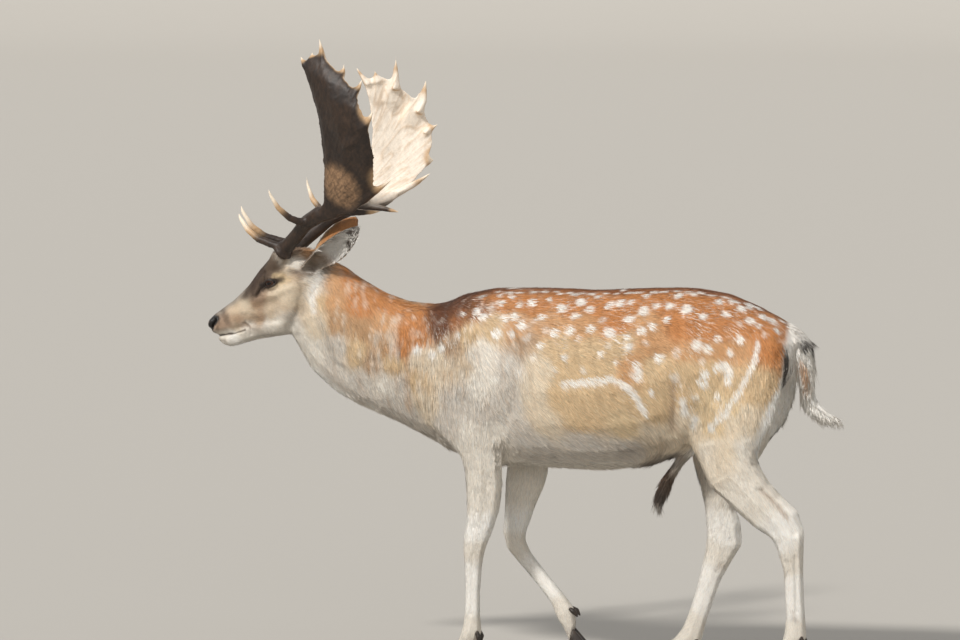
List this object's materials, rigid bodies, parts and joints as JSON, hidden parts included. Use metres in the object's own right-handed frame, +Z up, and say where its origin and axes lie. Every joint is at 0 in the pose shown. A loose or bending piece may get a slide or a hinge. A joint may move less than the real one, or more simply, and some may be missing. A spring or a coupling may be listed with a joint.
{
  "type": "fallow deer",
  "caption": "Life-size still model of a spotted fallow buck in mid-stride, with palmate antlers.",
  "frame": {"origin": "on the floor, under the middle of the model's bounding box", "axes": "nose towards -X, tail towards +X, the deer's left side towards -Y, +Z up"},
  "size_m": [1.553, 0.6106, 1.5162],
  "materials": {
    "coat": "matte",
    "belly_coat": "matte",
    "leg_coat": "matte",
    "antler_beam": "satin",
    "antler_palm": "satin",
    "antler_tine": "satin",
    "hoof_horn": "satin",
    "eye": "polished"
  },
  "bodies": {
    "root": {"head": "coat", "neck": "coat", "trunk": "coat", "tail": "coat", "ear_left": "coat", "ear_right": "coat", "sheath": "belly_coat", "foreleg_left_upper": "coat", "foreleg_left_cannon": "leg_coat", "foreleg_left_pastern": "leg_coat", "foreleg_left_hoof_outer": "hoof_horn", "foreleg_left_dewclaw_outer": "hoof_horn", "foreleg_left_hoof_inner": "hoof_horn", "foreleg_left_dewclaw_inner": "hoof_horn", "foreleg_right_upper": "coat", "foreleg_right_cannon": "leg_coat", "foreleg_right_pastern": "leg_coat", "foreleg_right_hoof_outer": "hoof_horn", "foreleg_right_dewclaw_outer": "hoof_horn", "foreleg_right_hoof_inner": "hoof_horn", "foreleg_right_dewclaw_inner": "hoof_horn", "hindleg_left_upper": "coat", "hindleg_left_cannon": "leg_coat", "hindleg_left_pastern": "leg_coat", "hindleg_left_hoof_outer": "hoof_horn", "hindleg_left_dewclaw_outer": "hoof_horn", "hindleg_left_hoof_inner": "hoof_horn", "hindleg_left_dewclaw_inner": "hoof_horn", "hindleg_right_upper": "coat", "hindleg_right_cannon": "leg_coat", "hindleg_right_pastern": "leg_coat", "hindleg_right_hoof_outer": "hoof_horn", "hindleg_right_dewclaw_outer": "hoof_horn", "hindleg_right_hoof_inner": "hoof_horn", "hindleg_right_dewclaw_inner": "hoof_horn", "eye_left": "eye", "antler_left_beam": "antler_beam", "antler_left_palm": "antler_palm", "antler_left_brow_tine": "antler_tine", "antler_left_trez_tine": "antler_tine", "antler_left_back_tine": "antler_tine", "antler_left_spur": "antler_tine", "eye_right": "eye", "antler_right_beam": "antler_beam", "antler_right_palm": "antler_palm", "antler_right_brow_tine": "antler_tine", "antler_right_trez_tine": "antler_tine", "antler_right_back_tine": "antler_tine", "antler_right_spur": "antler_tine"}
  },
  "joints": []
}
